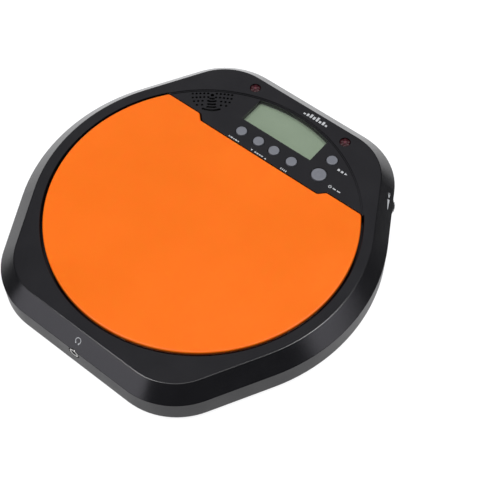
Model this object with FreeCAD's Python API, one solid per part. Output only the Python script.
import FreeCAD, Part
import math
import os

# Electronic practice drum pad, in millimetres. The origin lies on the table under the middle of the
# round pad; +X is to the player's right, +Y runs from the player to the display, +Z is up.

V = FreeCAD.Vector

# ---- driving dimensions ---------------------------------------------------------------------
PAD_R = 120.0            # radius of the round pad
HALF_WIDTH = 142.0       # radius of the two side arcs of the case
HALF_DEPTH = 143.0       # middle of the case to its front and back edges
CORNER_R = 56.0          # case corner radius, in plan
DIAGONAL = 29.2          # degrees: where each side arc runs into its straight diagonal
FOOT_Z = 2.5             # underside of the case above the table
SEAM_Z = 22.0            # top of the band wall of the lower case
SEAM_GAP = 0.7           # shadow gap between the two halves
TOP_Z = 33.6             # top face of the upper case
SLOPE_IN = 11.5          # how far the sloping wall leans in on its way up
PANEL_Z = 32.9           # control panel, a little below the top face
PLATE_Z = 31.0           # underside of the top plate and the panel
PAD_Z = 34.4             # striking surface
PAD_T = 5.0              # rubber thickness
PLATE_T = 1.2            # steel strike plate under the rubber
WEB_Z = 24.2             # floor of the well that holds the pad, its upper side
WEB_T = 2.0
WALL = 2.4               # wall of the lower case
FLOOR_T = 2.2            # floor of the lower case
BASE_R = 1.6             # round edge along its underside
BOARD_Z = 26.4           # upper side of the main board
BOARD_T = 1.6

CHORD_OUTER_Y = 72.7     # straight back edge of the pad, beside the panel's middle part
CHORD_MIDDLE_Y = 67.4    # the same edge across the middle
CHORD_STEP_X = (58.0, 63.3)   # the 45 degree step between the two
PAD_GAP = (2.3, 1.2)     # gap around the pad: along the circle, along the straight edge

# key name: x, y, radius
KEYS = {
    "rhythm": (-25.8, 79.7, 4.4),
    "tempo_down": (-8.9, 80.0, 4.4),
    "tempo_up": (6.3, 80.2, 4.4),
    "beat": (23.6, 80.1, 4.4),
    "mode": (47.7, 100.9, 4.4),
    "power": (47.9, 83.3, 5.95),
}
KEY_TOP_Z = 33.9
KEY_FLANGE_Z = (29.6, 30.7)
KEY_FLANGE = 0.9         # how far the flange stands out round the key
KEY_GAP = 0.5
PILL_Z = (27.7, 28.0)
SHEET_T = 0.8            # rubber keypad sheet on the board

WINDOW_X = 34.0          # display opening, half width
WINDOW_Y = 90.5          # its front edge; its back edge follows the arc below
WINDOW_ARC_R = 119.3
LINE_R = (119.8, 120.7)  # fine groove that follows the panel's arc
PANEL_R = 121.7          # edge of the recessed panel
GLASS_Z = (27.0, 28.4)   # display cell

LAMP = (45.1, 121.7)     # beat lamps, left and right
LAMP_R = 4.5

GRILLE = (-68.0, 94.3)   # centre of the speaker grille
GRILLE_RINGS = (3.9, 6.9, 10.0, 13.0, 16.1)
GRILLE_ROWS = (2, 2, 3, 4, 4)            # round holes on each side of each ring
GRILLE_SLOTS = (20.0, 26.0, 16.0, 14.0, 25.0)   # half angle of the long slot on each ring
GRILLE_ROW_R = 118.0     # the rows of holes follow circles about the middle of the pad
GRILLE_ROW_STEP = 4.0
HOLE_R = 1.0
EDGE_BREAK = 0.25        # chamfer round the key holes and the well
SPEAKER_R = 17.5

WHEEL_N = 134.0          # volume wheel: distance out along the diagonal face's normal
WHEEL_T = 41.0           # and along the face
WHEEL_R = 10.0
WHEEL_Z = (13.4, 17.4)
WHEEL_NOTCHES = 30
VOLUME_BOARD_Z = (8.8, 10.4)

JACK_Z = 18.3            # headphone jack, in the middle of the front wall
JACK_R = 1.8
JACK_BARREL_R = 3.0
JACK_NUT_R = 4.0
JACK_BOARD_Z = (13.3, 14.9)
JACK_SCREWS = [(-6.5, -124.0), (6.5, -124.0)]

CELL_R = 7.1
CELL_L = 49.0
CELL_PITCH = 15.4
CELL_Z = 12.9
BAY = (31.4, 80.8, 139.0, 20.8)          # battery bay inside: half width, front, back, roof
BAY_WALL = 2.0
DOOR_HALF = 34.0
DOOR_TONGUE = 1.4
DOOR_Y = 78.0
DOOR_T = 2.4

WEB_BOSSES = [(-112.0, 0.0), (112.0, 0.0), (-70.0, -88.0), (70.0, -88.0), (-62.0, 58.0), (62.0, 58.0)]
BACK_BOSSES = [(-62.0, 122.0), (62.0, 122.0)]
BOSS_SPLIT_Z = 12.0
BOARD_POSTS = [(-33.5, 85.0), (36.0, 77.6), (52.8, 112.0), (-41.0, 112.5)]
SPEAKER_POST_ANGLES = (60.0, 180.0, -20.0)
SPEAKER_POST_R = 20.5
FEET = [(-92.0, -86.0), (92.0, -86.0), (-92.0, 86.0), (92.0, 86.0)]
FOOT_R = 8.0
WIRE_R = 0.7


# ---- plain helpers --------------------------------------------------------------------------
def box(x0, x1, y0, y1, z0, z1):
    return Part.makeBox(x1 - x0, y1 - y0, z1 - z0, V(x0, y0, z0))


def rod(x, y, z0, z1, r):
    return Part.makeCylinder(r, z1 - z0, V(x, y, z0))


def rod_y(x, y0, y1, z, r):
    return Part.makeCylinder(r, y1 - y0, V(x, y0, z), V(0, 1, 0))


def tube(x, y, z0, z1, r, r_in):
    return rod(x, y, z0, z1, r).cut(rod(x, y, z0, z1, r_in))


def fuse(shapes):
    return shapes[0].multiFuse(shapes[1:]).removeSplitter()


def polar(r, degrees, centre=(0.0, 0.0)):
    a = math.radians(degrees)
    return centre[0] + r * math.cos(a), centre[1] + r * math.sin(a)


def arc_edge(centre, r, a0, a1, z):
    points = [V(*polar(r, a, centre), z) for a in (a0, (a0 + a1) / 2, a1)]
    return Part.Arc(*points).toShape()


def polygon(points, z0, z1):
    corners = [V(x, y, z0) for x, y in points]
    wire = Part.makePolygon(corners + corners[:1])
    return Part.Face(wire).extrude(V(0, 0, z1 - z0))


def edges_at(shape, z):
    return [e for e in shape.Edges if abs(e.BoundBox.ZMin - z) < 1e-3 and abs(e.BoundBox.ZMax - z) < 1e-3]


def upright_edges(shape):
    return [e for e in shape.Edges if e.BoundBox.ZLength > 1.0 and e.BoundBox.XLength < 1e-3
            and e.BoundBox.YLength < 1e-3]


def save(node, shape):
    if not shape.isValid():
        print("not valid:", node)
    shape.exportStep("parts/" + node + ".step")


# ---- plan shapes ----------------------------------------------------------------------------
def case_wire(inset, z):
    """Plan outline of the case, moved in by inset: six arcs joined by six straight edges."""
    cos_d = math.cos(math.radians(DIAGONAL))
    sin_d = math.sin(math.radians(DIAGONAL))
    cy = HALF_DEPTH - CORNER_R
    cx = (HALF_WIDTH - CORNER_R - cy * sin_d) / cos_d
    side = HALF_WIDTH - inset
    corner = CORNER_R - inset
    d = DIAGONAL
    arcs = [
        arc_edge((0, 0), side, -d, d, z),
        arc_edge((cx, cy), corner, d, 90, z),
        arc_edge((-cx, cy), corner, 90, 180 - d, z),
        arc_edge((0, 0), side, 180 - d, 180 + d, z),
        arc_edge((-cx, -cy), corner, 180 + d, 270, z),
        arc_edge((cx, -cy), corner, 270, 360 - d, z),
    ]
    edges = []
    for i, arc in enumerate(arcs):
        following = arcs[(i + 1) % len(arcs)]
        edges.append(arc)
        edges.append(Part.LineSegment(arc.Vertexes[-1].Point, following.Vertexes[0].Point).toShape())
    return Part.Wire(edges)


def case_prism(inset, z0, z1):
    return Part.Face(case_wire(inset, z0)).extrude(V(0, 0, z1 - z0))


def slope_inset(z):
    """Inset of the outer face of the sloping wall at height z."""
    start = SEAM_Z + SEAM_GAP
    return SLOPE_IN * (z - start) / (TOP_Z - start)


def pad_wire(grow_circle, grow_chord, z):
    """The pad's plan outline: a circle cut off by a stepped straight edge."""
    r = PAD_R + grow_circle
    y_outer = CHORD_OUTER_Y + grow_chord
    y_middle = CHORD_MIDDLE_Y + grow_chord
    slide = grow_chord * math.tan(math.radians(22.5))
    x_middle = CHORD_STEP_X[0] - slide
    x_outer = CHORD_STEP_X[1] - slide
    x_end = math.sqrt(r * r - y_outer * y_outer)
    line = [(-x_end, y_outer), (-x_outer, y_outer), (-x_middle, y_middle),
            (x_middle, y_middle), (x_outer, y_outer), (x_end, y_outer)]
    points = [V(x, y, z) for x, y in line]
    edges = [Part.LineSegment(a, b).toShape() for a, b in zip(points, points[1:])]
    edges.append(Part.Arc(points[-1], V(0, -r, z), points[0]).toShape())
    return Part.Wire(edges)


def pad_prism(grow_circle, grow_chord, z0, z1, corner=0.0):
    solid = Part.Face(pad_wire(grow_circle, grow_chord, z0)).extrude(V(0, 0, z1 - z0))
    if corner:
        solid = solid.makeFillet(corner, upright_edges(solid))
    return solid


def window_prism(grow, z0, z1):
    """Display opening: a rectangle whose back edge follows the panel's arc."""
    x = WINDOW_X + grow
    block = box(-x, x, WINDOW_Y - grow, HALF_DEPTH, z0, z1)
    return block.common(rod(0, 0, z0, z1, WINDOW_ARC_R + grow))


# ---- upper case -----------------------------------------------------------------------------
def grille_cutters():
    """Holes and slots of the speaker grille, on rings about its centre."""
    z0, z1 = PLATE_Z - 1, TOP_Z + 1
    centre_r = math.hypot(*GRILLE)
    inward = math.degrees(math.atan2(-GRILLE[1], -GRILLE[0]))
    cutters = [rod(GRILLE[0], GRILLE[1], z0, z1, 1.5 * HOLE_R)]
    for ring, rows, half in zip(GRILLE_RINGS, GRILLE_ROWS, GRILLE_SLOTS):
        for row in range(rows):
            row_r = GRILLE_ROW_R - GRILLE_ROW_STEP * row
            cos_a = (centre_r ** 2 + ring ** 2 - row_r ** 2) / (2 * centre_r * ring)
            swing = math.degrees(math.acos(cos_a))
            for side in (-1, 1):
                x, y = polar(ring, inward + side * swing, GRILLE)
                cutters.append(rod(x, y, z0, z1, HOLE_R))
        wedge = polygon([GRILLE, polar(40, inward - half, GRILLE), polar(40, inward + half, GRILLE)], z0, z1)
        slot = tube(GRILLE[0], GRILLE[1], z0, z1, ring + HOLE_R, ring - HOLE_R).common(wedge)
        cutters.append(slot)
        for side in (-1, 1):
            x, y = polar(ring, inward + side * half, GRILLE)
            cutters.append(rod(x, y, z0, z1, HOLE_R))
    return cutters


def speaker_posts():
    return [polar(SPEAKER_POST_R, a, GRILLE) for a in SPEAKER_POST_ANGLES]


def well_rim_cutters():
    """Break the well's upper edge: all round at the top face, and along the straight edge at the panel."""
    circle, chord = PAD_GAP
    rim = [pad_wire(circle, chord, TOP_Z - EDGE_BREAK), pad_wire(circle + EDGE_BREAK, chord, TOP_Z)]
    straight = [pad_wire(circle, chord, PANEL_Z - EDGE_BREAK), pad_wire(circle, chord + EDGE_BREAK, PANEL_Z)]
    return [Part.makeLoft(wires, True, True) for wires in (rim, straight)]


def upper_case():
    z_low = SEAM_Z + SEAM_GAP
    z_lip = z_low + 1.7
    wall = 3.1
    outer = Part.makeLoft([case_wire(0, z_low), case_wire(SLOPE_IN, TOP_Z)], True, True)
    outer = outer.makeFillet(1.2, edges_at(outer, TOP_Z))
    lip_room = case_prism(WALL + 0.1, z_low - 1, z_lip)
    room = Part.makeLoft([case_wire(slope_inset(z_lip) + wall, z_lip - 0.01),
                          case_wire(slope_inset(PLATE_Z) + wall, PLATE_Z)], True, True)
    shell = outer.cut([lip_room, room])

    added = [shell, pad_prism(PAD_GAP[0] + WEB_T, PAD_GAP[1] + WEB_T, WEB_Z - WEB_T, PLATE_Z + 0.3)]
    rib_z = WEB_Z - WEB_T - 3.5
    added.append(tube(0, 0, rib_z, WEB_Z - WEB_T, 63.0, 61.5))
    for i in range(8):
        rib = box(20.0, 62.0, -0.75, 0.75, rib_z, WEB_Z - WEB_T)
        added.append(rib.rotate(V(0, 0, 0), V(0, 0, 1), 22.5 + 45 * i))
    for x, y in WEB_BOSSES:
        added.append(rod(x, y, BOSS_SPLIT_Z, WEB_Z - 0.5, 3.6))
    for x, y in BACK_BOSSES:
        added.append(rod(x, y, BOSS_SPLIT_Z, PLATE_Z + 0.3, 3.6))
    for x, y in BOARD_POSTS:
        added.append(rod(x, y, BOARD_Z, PLATE_Z + 0.3, 2.0))
    for x, y in speaker_posts():
        added.append(rod(x, y, 29.0, PLATE_Z + 0.3, 2.0))
    body = fuse(added)

    cuts = [
        pad_prism(PAD_GAP[0], PAD_GAP[1], WEB_Z, TOP_Z + 1),
        rod(0, 0, PANEL_Z, TOP_Z + 1, PANEL_R),
        tube(0, 0, PANEL_Z - 0.6, TOP_Z + 1, LINE_R[1], LINE_R[0]),
        window_prism(0, PLATE_Z - 1, TOP_Z + 1),
        rod_y(0, -HALF_DEPTH - 1, -HALF_DEPTH + 1.6, JACK_Z, 5.0),
        rod(11.8, 0, WEB_Z - WEB_T - 1, WEB_Z + 1, 1.6),
    ]
    for x, y, r in KEYS.values():
        hole_r = r + KEY_GAP
        cuts.append(rod(x, y, PLATE_Z - 1, TOP_Z + 1, hole_r))
        cuts.append(Part.makeCone(hole_r, hole_r + EDGE_BREAK, EDGE_BREAK, V(x, y, PANEL_Z - EDGE_BREAK)))
    x, y, r = KEYS["power"]
    cuts.append(rod(x, y, PANEL_Z - 0.4, TOP_Z + 1, r + 1.3))
    for side in (-1, 1):
        cuts.append(rod(side * LAMP[0], LAMP[1], PLATE_Z - 1, TOP_Z + 1, LAMP_R))
    for x, y in WEB_BOSSES + BACK_BOSSES:
        cuts.append(rod(x, y, BOSS_SPLIT_Z - 1, BOSS_SPLIT_Z + 8, 1.5))
    for x, y in BOARD_POSTS:
        cuts.append(rod(x, y, BOARD_Z - 1, BOARD_Z + 3.6, 0.9))
    for x, y in speaker_posts():
        cuts.append(rod(x, y, 28.0, 31.6, 0.9))
    return body.cut(cuts + well_rim_cutters() + grille_cutters()).removeSplitter()


# ---- lower case -----------------------------------------------------------------------------
def on_diagonal(n, t):
    """A point n out from the middle along the right-hand diagonal face's normal and t along the face."""
    a = math.radians(DIAGONAL)
    return n * math.cos(a) - t * math.sin(a), n * math.sin(a) + t * math.cos(a)


def volume_screws():
    return [on_diagonal(WHEEL_N - 10.5, WHEEL_T + t) for t in (-8.5, 8.5)]


def outer_body():
    body = case_prism(0, FOOT_Z, SEAM_Z)
    return body.makeFillet(BASE_R, edges_at(body, FOOT_Z))


def lower_case():
    floor_z = FOOT_Z + FLOOR_T
    half, front, back, roof = BAY
    shell = outer_body().cut(case_prism(WALL, floor_z, SEAM_Z + 1))
    tongue = fuse([case_prism(WALL, SEAM_Z - 4, SEAM_Z), case_prism(WALL + 0.2, SEAM_Z, SEAM_Z + 2)])
    tongue = tongue.cut(case_prism(WALL + 1.2, SEAM_Z - 5, SEAM_Z + 3))
    tongue = tongue.cut(box(-6.5, 6.5, -HALF_DEPTH, -HALF_DEPTH + 6, SEAM_Z - 5, SEAM_Z + 3))

    added = [shell, tongue]
    added.append(box(-half - BAY_WALL, half + BAY_WALL, front - BAY_WALL, HALF_DEPTH - 1.5, floor_z, roof + 1.4))
    rail_x = DOOR_HALF + DOOR_TONGUE + 3.1
    added.append(box(-rail_x, rail_x, DOOR_Y - 3, HALF_DEPTH - 1.5, FOOT_Z + 1, floor_z + 1.9))
    for x, y in WEB_BOSSES + BACK_BOSSES:
        added.append(rod(x, y, floor_z - 1, BOSS_SPLIT_Z, 4.6))
    for x, y in volume_screws():
        added.append(rod(x, y, floor_z - 1, VOLUME_BOARD_Z[0], 2.4))
    for x, y in JACK_SCREWS:
        added.append(rod(x, y, floor_z - 1, JACK_BOARD_Z[0], 2.4))
    for x in (-75.0, -40.0, 40.0, 75.0):
        added.append(box(x - 0.75, x + 0.75, -78.0, 48.0, floor_z - 1, floor_z + 2.5))
    for y in (-60.0, 0.0, 30.0):
        added.append(box(-104.0, 104.0, y - 0.75, y + 0.75, floor_z - 1, floor_z + 2.5))
    body = fuse(added)

    wx, wy = on_diagonal(WHEEL_N, WHEEL_T)
    door_x = DOOR_HALF + 0.3
    groove_x = DOOR_HALF + DOOR_TONGUE + 0.4
    cuts = [
        box(-half, half, front, back, FOOT_Z - 1, roof),
        box(-door_x, door_x, DOOR_Y - 0.3, HALF_DEPTH + 1, FOOT_Z - 1, FOOT_Z + DOOR_T + 0.3),
        box(-groove_x, groove_x, DOOR_Y - 0.3, HALF_DEPTH + 1, FOOT_Z + 1.4, FOOT_Z + DOOR_T + 0.3),
        rod(wx, wy, WHEEL_Z[0] - 0.5, WHEEL_Z[1] + 0.5, WHEEL_R + 0.5),
        rod_y(0, -HALF_DEPTH - 1, -HALF_DEPTH + 4, JACK_Z, JACK_BARREL_R + 0.1),
        rod_y(0, -HALF_DEPTH - 1, -HALF_DEPTH + 0.8, JACK_Z, 5.0),
    ]
    for x, y in WEB_BOSSES + BACK_BOSSES:
        cuts.append(rod(x, y, FOOT_Z - 1, FOOT_Z + 4, 3.2))
        cuts.append(rod(x, y, FOOT_Z, BOSS_SPLIT_Z + 1, 1.6))
    for x, y in volume_screws():
        cuts.append(rod(x, y, VOLUME_BOARD_Z[0] - 3.2, VOLUME_BOARD_Z[0] + 1, 0.9))
    for x, y in JACK_SCREWS:
        cuts.append(rod(x, y, JACK_BOARD_Z[0] - 4.2, JACK_BOARD_Z[0] + 1, 0.9))
    for x, y in FEET:
        cuts.append(rod(x, y, FOOT_Z - 1, FOOT_Z + 0.9, FOOT_R))
    for side in (-1, 1):
        wire_x = side * (half + 1)
        cuts.append(Part.makeCylinder(1.2, 4, V(wire_x - 2, 84, 10), V(1, 0, 0)))
    return body.cut(cuts).removeSplitter()


def battery_door():
    top = FOOT_Z + DOOR_T
    plate = box(-DOOR_HALF, DOOR_HALF, DOOR_Y, HALF_DEPTH + 1, FOOT_Z, top)
    tongues = box(-DOOR_HALF - DOOR_TONGUE, DOOR_HALF + DOOR_TONGUE, DOOR_Y, HALF_DEPTH + 1, FOOT_Z + 1.7, top)
    door = fuse([plate, tongues]).common(outer_body())
    grip = [box(-14, 14, DOOR_Y + 8 + 3 * i, DOOR_Y + 9.4 + 3 * i, FOOT_Z - 1, FOOT_Z + 0.7) for i in range(5)]
    arrow = polygon([(-5, 112), (5, 112), (0, 120)], FOOT_Z - 1, FOOT_Z + 0.4)
    return door.cut(grip + [arrow])


def rubber_feet():
    feet = []
    for x, y in FEET:
        foot = rod(x, y, 0, FOOT_Z + 0.9, FOOT_R)
        feet.append(foot.makeChamfer(0.6, edges_at(foot, 0)))
    return Part.makeCompound(feet)


# ---- striking surface -----------------------------------------------------------------------
def drum_pad():
    pad = pad_prism(0, 0, PAD_Z - PAD_T, PAD_Z, corner=2.5)
    return pad.makeFillet(2.6, edges_at(pad, PAD_Z))


def strike_plate():
    top = PAD_Z - PAD_T
    return pad_prism(-1.0, -1.0, top - PLATE_T, top)


def pad_foam():
    top = PAD_Z - PAD_T - PLATE_T
    return pad_prism(-1.5, -1.5, WEB_Z, top).cut(rod(0, 0, WEB_Z, top, 17.0))


def piezo_parts():
    top = PAD_Z - PAD_T - PLATE_T
    return {
        "piezo_disc": rod(0, 0, top - 0.3, top, 13.5),
        "piezo_ceramic": rod(0, 0, top - 0.6, top - 0.3, 10.0),
        "piezo_cushion": rod(0, 0, WEB_Z, top - 0.6, 9.5),
    }


# ---- keys -----------------------------------------------------------------------------------
def key_cap(x, y, r):
    cap = rod(x, y, KEY_FLANGE_Z[1] - 0.2, KEY_TOP_Z, r)
    cap = cap.makeFillet(0.6, edges_at(cap, KEY_TOP_Z))
    flange = rod(x, y, KEY_FLANGE_Z[0], KEY_FLANGE_Z[1], r + KEY_FLANGE)
    post = rod(x, y, PILL_Z[1], KEY_FLANGE_Z[0] + 0.2, 2.2)
    return fuse([cap, flange, post])


def key_dome(x, y, r):
    base, top = BOARD_Z + SHEET_T, KEY_FLANGE_Z[0]
    outside = Part.makeCone(r + 0.9, r - 0.7, top - base, V(x, y, base))
    inside = Part.makeCone(r + 0.4, r - 1.2, top - base, V(x, y, base))
    return outside.cut(inside)


def keypad_sheet():
    row = box(-37, 56, 73.5, 87.6, BOARD_Z, BOARD_Z + SHEET_T)
    column = box(39, 56, 87.6, 108.5, BOARD_Z, BOARD_Z + SHEET_T)
    cuts = [rod(x, y, BOARD_Z - 1, BOARD_Z + 2, r - 0.4) for x, y, r in KEYS.values()]
    cuts += [rod(x, y, BOARD_Z - 1, BOARD_Z + 2, 2.2) for x, y in BOARD_POSTS]
    return fuse([row, column]).cut(cuts)


# ---- display --------------------------------------------------------------------------------
def display_parts():
    frame = box(-38, 38, 88, 122.6, BOARD_Z, 30.0)
    frame = frame.cut([box(-36, 36, 88.9, 121.4, BOARD_Z - 1, GLASS_Z[1]), window_prism(0.1, BOARD_Z, 31)])
    strips = [box(-34.5, 34.5, y, y + 2, BOARD_Z, GLASS_Z[0]) for y in (89.2, 119.1)]
    return {
        "lcd_frame": frame,
        "lcd_glass": box(-36, 36, 88.9, 121.4, GLASS_Z[0], GLASS_Z[1]),
        "lcd_reflector": box(-34.5, 34.5, 91.4, 118.9, BOARD_Z, GLASS_Z[0]),
        "zebra_strips": Part.makeCompound(strips),
        "display_window": box(-37, 37, 88.4, 121.8, 30.2, PLATE_Z),
    }


# ---- boards and lamps -----------------------------------------------------------------------
def main_board():
    outline = [(-38, 72.5), (56.5, 72.5), (56.5, 126.5), (-50, 126.5), (-50, 108), (-38, 108)]
    board = polygon(outline, BOARD_Z - BOARD_T, BOARD_Z)
    return board.cut([rod(x, y, BOARD_Z - 3, BOARD_Z + 1, 1.1) for x, y in BOARD_POSTS])


def chips():
    z1 = BOARD_Z - BOARD_T
    blocks = [box(-18, -6, 94, 106, z1 - 1.6, z1), box(8, 16, 96, 108, z1 - 1.6, z1)]
    for i in range(8):
        x = -17.0 + 1.4 * i
        blocks.append(box(x, x + 0.5, 92.6, 94, z1 - 0.6, z1))
        blocks.append(box(x, x + 0.5, 106, 107.4, z1 - 0.6, z1))
    return Part.makeCompound(blocks)


def board_components():
    z1 = BOARD_Z - BOARD_T
    parts = [rod(45, 112, z1 - 10, z1, 3.0), rod(45, 119.5, z1 - 8, z1, 2.5), rod(-44, 117, z1 - 8, z1, 2.5)]
    for i in range(5):
        parts.append(box(41 + 3 * i, 42.6 + 3 * i, 92, 92.8, z1 - 0.6, z1))
    parts.append(box(44, 55, 99, 103.5, z1 - 3.5, z1))
    return Part.makeCompound(parts)


def lamp_parts():
    nodes = {}
    diodes = []
    for name, side in (("left", -1), ("right", 1)):
        x, y = side * LAMP[0], LAMP[1]
        lens = rod(x, y, PLATE_Z - 0.6, TOP_Z + 0.3, LAMP_R - 0.05)
        lens = lens.makeFillet(0.5, edges_at(lens, TOP_Z + 0.3))
        flange = rod(x, y, PLATE_Z - 0.9, PLATE_Z, LAMP_R + 0.9)
        nodes[name + "_beat_lens"] = fuse([lens, flange])
        dome = Part.makeSphere(1.5, V(x, y, BOARD_Z + 2.0))
        diodes.append(fuse([rod(x, y, BOARD_Z, BOARD_Z + 2.0, 1.5), rod(x, y, BOARD_Z, BOARD_Z + 0.8, 1.8), dome]))
    below = box(-60, 60, 100, 140, 0, BOARD_Z)
    nodes["beat_diodes"] = Part.makeCompound([d.cut(below) for d in diodes])
    return nodes


# ---- speaker --------------------------------------------------------------------------------
def speaker_parts():
    x, y = GRILLE
    rim_z = (29.4, 30.6)
    rim = tube(x, y, rim_z[0], rim_z[1], SPEAKER_R, 15.2)
    cone_outside = Part.makeCone(9.0, 16.6, 7.9, V(x, y, 21.5))
    cone_inside = Part.makeCone(8.0, 15.6, 8.0, V(x, y, 21.5))
    basket = cone_outside.cut(cone_inside)
    for i in range(4):
        opening = box(-3.2, 3.2, 0, 20, 22.7, 28.0).rotate(V(0, 0, 0), V(0, 0, 1), 90 * i + 45)
        basket = basket.cut(opening.translate(V(x, y, 0)))
    paper = Part.makeCone(4.0, 15.0, 4.0, V(x, y, 25.6)).cut(Part.makeCone(3.5, 14.5, 4.0, V(x, y, 26.0)))
    paper = paper.cut(box(x - 20, x + 20, y - 20, y + 20, 29.4, 31))
    surround = tube(x, y, 29.2, 29.6, 15.2, 14.3)
    clamps = []
    for angle, (px, py) in zip(SPEAKER_POST_ANGLES, speaker_posts()):
        tab = box(-3.7, 2.6, -2.6, 2.6, 28.2, 29.0).cut(rod(0, 0, 28, 30, 1.2))
        step = box(-3.7, -3.2, -2.6, 2.6, 29.0, 29.4)
        tab = fuse([tab, step]).rotate(V(0, 0, 0), V(0, 0, 1), angle).translate(V(px, py, 0))
        clamps.append(tab)
    return {
        "speaker_frame": fuse([rim, basket, rod(x, y, 20.5, 21.5, 9.5)]),
        "speaker_magnet": rod(x, y, 14.5, 20.5, 10.0),
        "speaker_cone": fuse([paper, surround, Part.makeSphere(4.6, V(x, y, 24.4)).cut(rod(x, y, 15, 26.2, 8))]),
        "speaker_gasket": tube(x, y, 30.6, PLATE_Z, SPEAKER_R, 15.8),
        "speaker_clamps": Part.makeCompound(clamps),
    }


# ---- volume control -------------------------------------------------------------------------
def volume_parts():
    x, y = on_diagonal(WHEEL_N, WHEEL_T)
    z0, z1 = WHEEL_Z
    wheel = rod(x, y, z0, z1, WHEEL_R)
    wheel = wheel.makeChamfer(0.4, edges_at(wheel, z0) + edges_at(wheel, z1))
    cuts = [rod(x, y, z0 - 1, z1 + 1, 3.0), rod(x, y, z1 - 1.4, z1 + 1, 3.8)]
    for i in range(WHEEL_NOTCHES):
        nx, ny = polar(WHEEL_R + 0.15, 360.0 * i / WHEEL_NOTCHES, (x, y))
        cuts.append(rod(nx, ny, z0 - 1, z1 + 1, 0.55))
    wheel = wheel.cut(cuts)
    shaft = rod(x, y, 11.0, z1 - 1.4, 3.0).cut(rod(x, y, 12.5, z1, 1.2))
    screw = fuse([rod(x, y, z1 - 1.4, z1 - 0.2, 3.4), rod(x, y, 12.5, z1 - 1.4, 1.2)])
    screw = screw.cut(box(x - 2.4, x + 2.4, y - 0.4, y + 0.4, z1 - 0.8, z1))
    case = rod(x, y, VOLUME_BOARD_Z[1], 13.0, 5.2).cut(rod(x, y, 11.0, 14.0, 3.05))
    corners = [on_diagonal(WHEEL_N + n, WHEEL_T + t) for n, t in ((-13.5, -11), (4.5, -11), (4.5, 11), (-13.5, 11))]
    board = polygon(corners, VOLUME_BOARD_Z[0], VOLUME_BOARD_Z[1])
    board = board.cut([rod(sx, sy, 5, 15, 1.1) for sx, sy in volume_screws()])
    return {
        "volume_wheel": wheel,
        "volume_shaft": shaft,
        "volume_wheel_screw": screw,
        "volume_control": case,
        "volume_board": board,
    }


# ---- headphone jack -------------------------------------------------------------------------
def jack_parts():
    front = -HALF_DEPTH
    inner = front + WALL
    z0 = JACK_BOARD_Z[1]
    body = fuse([box(-4, 4, inner, inner + 13.6, z0, JACK_Z + 3.4),
                 rod_y(0, front, inner + 1, JACK_Z, JACK_BARREL_R)])
    body = body.cut(rod_y(0, front - 1, front + 15, JACK_Z, JACK_R))
    nut = rod_y(0, front, front + 0.8, JACK_Z, JACK_NUT_R).cut(rod_y(0, front - 1, front + 2, JACK_Z, JACK_BARREL_R))
    for side in (-1, 1):
        nut = nut.cut(box(side * 3.7 - 0.4, side * 3.7 + 0.4, front - 1, front + 0.4, JACK_Z - 0.5, JACK_Z + 0.5))
    board = box(-9, 9, inner + 0.6, -121, JACK_BOARD_Z[0], JACK_BOARD_Z[1])
    board = board.cut([rod(x, y, 10, 16, 1.1) for x, y in JACK_SCREWS])
    return {"headphone_jack": body, "jack_nut": nut, "jack_board": board}


# ---- power ----------------------------------------------------------------------------------
def contact_spring(x, from_y, to_y):
    """A short conical spring, as close turns from the contact plate to the cell."""
    turns = 4
    wire = 0.45
    step = (abs(to_y - from_y) - 2 * wire) / (turns - 1)
    sign = 1 if to_y > from_y else -1
    rings = []
    for k in range(turns):
        y = from_y + sign * (wire + step * k)
        rings.append(Part.makeTorus(5.2 - 0.8 * k, wire, V(x, y, CELL_Z), V(0, 1, 0)))
    return Part.makeCompound(rings)


def battery_parts():
    half, front, back, roof = BAY
    cells = []
    contacts = []
    start = front + 5.6
    for i in range(4):
        x = CELL_PITCH * (i - 1.5)
        flip = i % 2
        y0 = start + (1.2 if flip else 0)
        cell = rod_y(x, y0, y0 + CELL_L, CELL_Z, CELL_R)
        nub_y = y0 - 1.2 if flip else y0 + CELL_L
        cells.append(fuse([cell, rod_y(x, nub_y, nub_y + 1.2, CELL_Z, 2.6)]))
        for end_y, inward, has_spring in ((front, 1, not flip), (back, -1, flip)):
            plate_y = end_y if inward > 0 else end_y - 0.5
            contact = [box(x - 6.2, x + 6.2, plate_y, plate_y + 0.5, 6.5, 19.5)]
            cell_end = y0 if inward > 0 else y0 + CELL_L
            if has_spring:
                contact.append(contact_spring(x, end_y + inward * 0.5, cell_end))
            contacts.append(Part.makeCompound(contact))
    return {"batteries": Part.makeCompound(cells), "battery_contacts": Part.makeCompound(contacts)}


# ---- wires, held along their whole way by clips and by the parts they join ------------------
def wire_run(points, bend):
    """A round wire along straight runs that arcs join."""
    pts = [V(*p) for p in points]
    edges = []
    start = pts[0]
    for before, at, after in zip(pts, pts[1:], pts[2:]):
        a = (before - at).normalize()
        b = (after - at).normalize()
        reach = bend / math.tan(a.getAngle(b) / 2)
        enter, leave = at + a * reach, at + b * reach
        middle = at + (a + b).normalize() * (bend / math.sin(a.getAngle(b) / 2) - bend)
        edges.append(Part.LineSegment(start, enter).toShape())
        edges.append(Part.Arc(enter, middle, leave).toShape())
        start = leave
    edges.append(Part.LineSegment(start, pts[-1]).toShape())
    path = Part.Wire(edges)
    profile = Part.Wire(Part.Circle(pts[0], pts[1] - pts[0], WIRE_R).toShape())
    return path.makePipeShell([profile], True, False)


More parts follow.
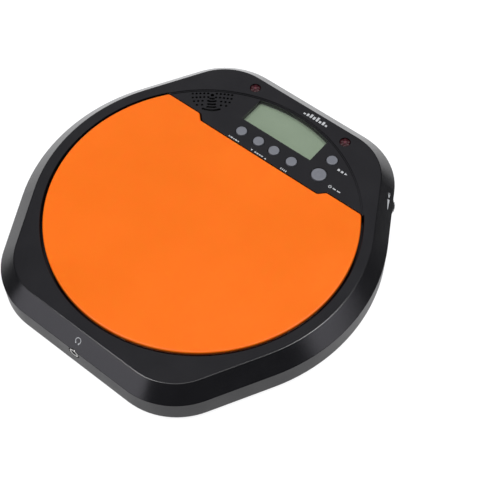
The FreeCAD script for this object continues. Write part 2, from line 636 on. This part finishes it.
def wires():
    under_board = BOARD_Z - BOARD_T
    piezo_z = PAD_Z - PAD_T - PLATE_T - 0.3
    bay_side = BAY[0] + BAY_WALL
    vx, vy = on_diagonal(WHEEL_N - 14.0, WHEEL_T)
    piezo = wire_run([(11.8, 0, piezo_z), (11.8, 0, 17), (11.8, 75, 17), (11.8, 75, under_board)], 5)
    jack = wire_run([(-3, -121, 14.1), (-3, -110, 14.1), (-12, -90, 14.1), (-12, 75, 14.1),
                     (-12, 75, under_board)], 5)
    volume = wire_run([(vx, vy, 9.6), (vx - 12, vy, 9.6), (53, 90, 9.6), (53, 90, under_board)], 5)
    battery = wire_run([(bay_side - 2.4, 84, 10), (41, 84, 10), (41, 84, under_board)], 4)
    speaker = wire_run([(GRILLE[0] + 10, 94.3, 18), (-36, 94.3, 18), (-36, 94.3, under_board)], 4)
    return {
        "piezo_wires": piezo,
        "control_wires": Part.makeCompound([jack, volume]),
        "supply_wires": Part.makeCompound([battery, speaker]),
    }


# ---- screws ---------------------------------------------------------------------------------
def cross_recess(x, y, z0, z1, r):
    return [box(x - r, x + r, y - 0.3, y + 0.3, z0, z1), box(x - 0.3, x + 0.3, y - r, y + r, z0, z1)]


def case_screws():
    screws = []
    head_z = FOOT_Z + 4
    for x, y in WEB_BOSSES + BACK_BOSSES:
        screw = fuse([rod(x, y, head_z - 1.8, head_z, 2.8), rod(x, y, head_z, BOSS_SPLIT_Z + 7, 1.5)])
        screws.append(screw.cut(cross_recess(x, y, head_z - 2, head_z - 0.9, 1.6)))
    return Part.makeCompound(screws)


def board_screws():
    screws = []
    under = BOARD_Z - BOARD_T
    for x, y in BOARD_POSTS:
        screws.append(fuse([rod(x, y, under - 1.4, under, 2.2), rod(x, y, under, BOARD_Z + 3.4, 0.9)]))
    for x, y in speaker_posts():
        screws.append(fuse([rod(x, y, 26.8, 28.2, 2.0), rod(x, y, 28.2, 31.4, 0.9)]))
    for places, z in ((volume_screws(), VOLUME_BOARD_Z), (JACK_SCREWS, JACK_BOARD_Z)):
        for x, y in places:
            screws.append(fuse([rod(x, y, z[1], z[1] + 1.4, 2.0), rod(x, y, z[0] - 3.0, z[1], 0.9)]))
    return Part.makeCompound(screws)


# ---- write every node -----------------------------------------------------------------------
nodes = {
    "upper_case": upper_case(),
    "lower_case": lower_case(),
    "battery_door": battery_door(),
    "rubber_feet": rubber_feet(),
    "drum_pad": drum_pad(),
    "strike_plate": strike_plate(),
    "pad_foam": pad_foam(),
    "keypad_sheet": keypad_sheet(),
    "main_board": main_board(),
    "controller_chips": chips(),
    "board_components": board_components(),
    "case_screws": case_screws(),
    "board_screws": board_screws(),
}
for group in (piezo_parts(), display_parts(), lamp_parts(), speaker_parts(), volume_parts(), jack_parts(),
              battery_parts(), wires()):
    nodes.update(group)
for name, (x, y, r) in KEYS.items():
    nodes[name + "_key"] = key_cap(x, y, r)
    nodes[name + "_dome"] = key_dome(x, y, r)
    nodes[name + "_pill"] = rod(x, y, PILL_Z[0], PILL_Z[1], 2.0)

for node, shape in nodes.items():
    save(node, shape)
print(len(nodes), "nodes")
